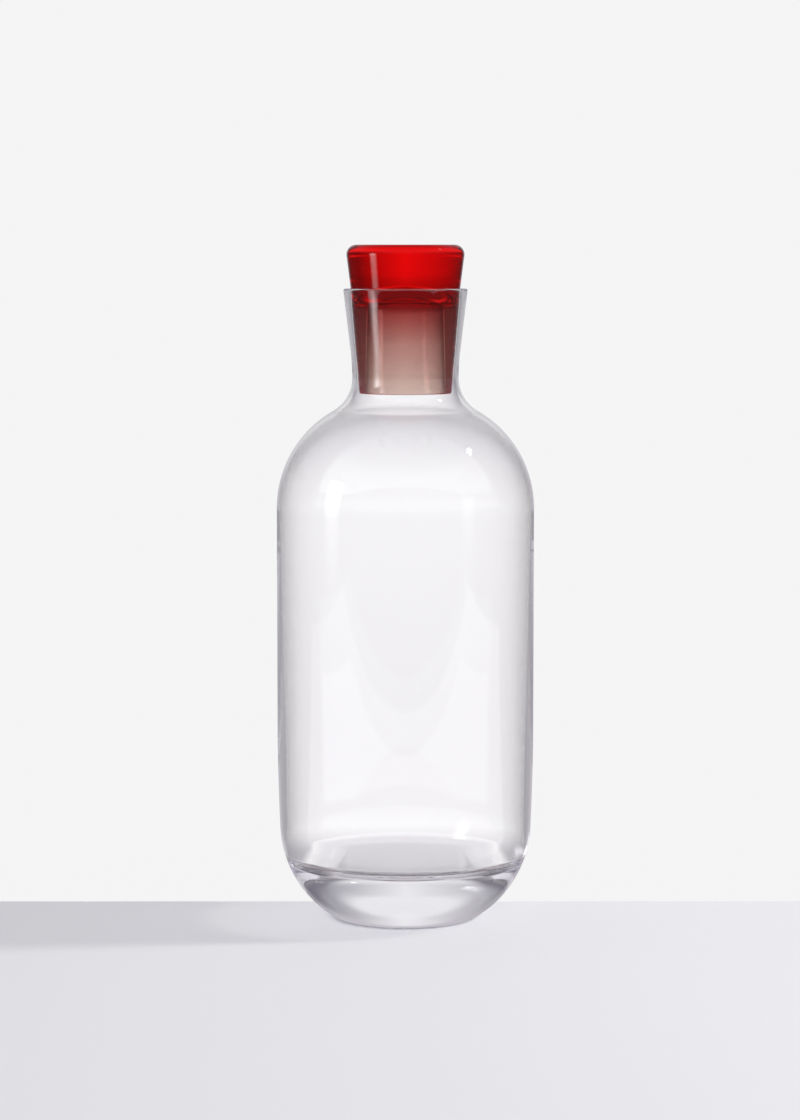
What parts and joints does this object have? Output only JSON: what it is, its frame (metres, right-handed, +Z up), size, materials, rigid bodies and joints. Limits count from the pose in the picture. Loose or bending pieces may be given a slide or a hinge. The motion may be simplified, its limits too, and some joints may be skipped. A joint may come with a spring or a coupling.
{
  "type": "stoppered glass bottle",
  "caption": "Straight-sided glass carafe bottle with a round shoulder, a flared neck and a thick base, and a tapered red glass stopper that lifts out of the neck.",
  "frame": {"origin": "centre of the foot ring, in the plane that the bottle stands on", "axes": "+Z up along the bottle's axis, out of its mouth; the part is round, so +X and +Y are any two level directions"},
  "size_m": [0.095, 0.095, 0.2496],
  "materials": {
    "clear_glass": "polished clear glass",
    "red_glass": "polished red glass"
  },
  "bodies": {
    "bottle": {"bottle": "clear_glass"},
    "stopper": {"stopper": "red_glass"}
  },
  "joints": [
    {"name": "stopper_lift", "type": "slide", "parent": "bottle", "child": "stopper", "axis": [0, 0, 1], "range_m": [0, 0.085]}
  ]
}
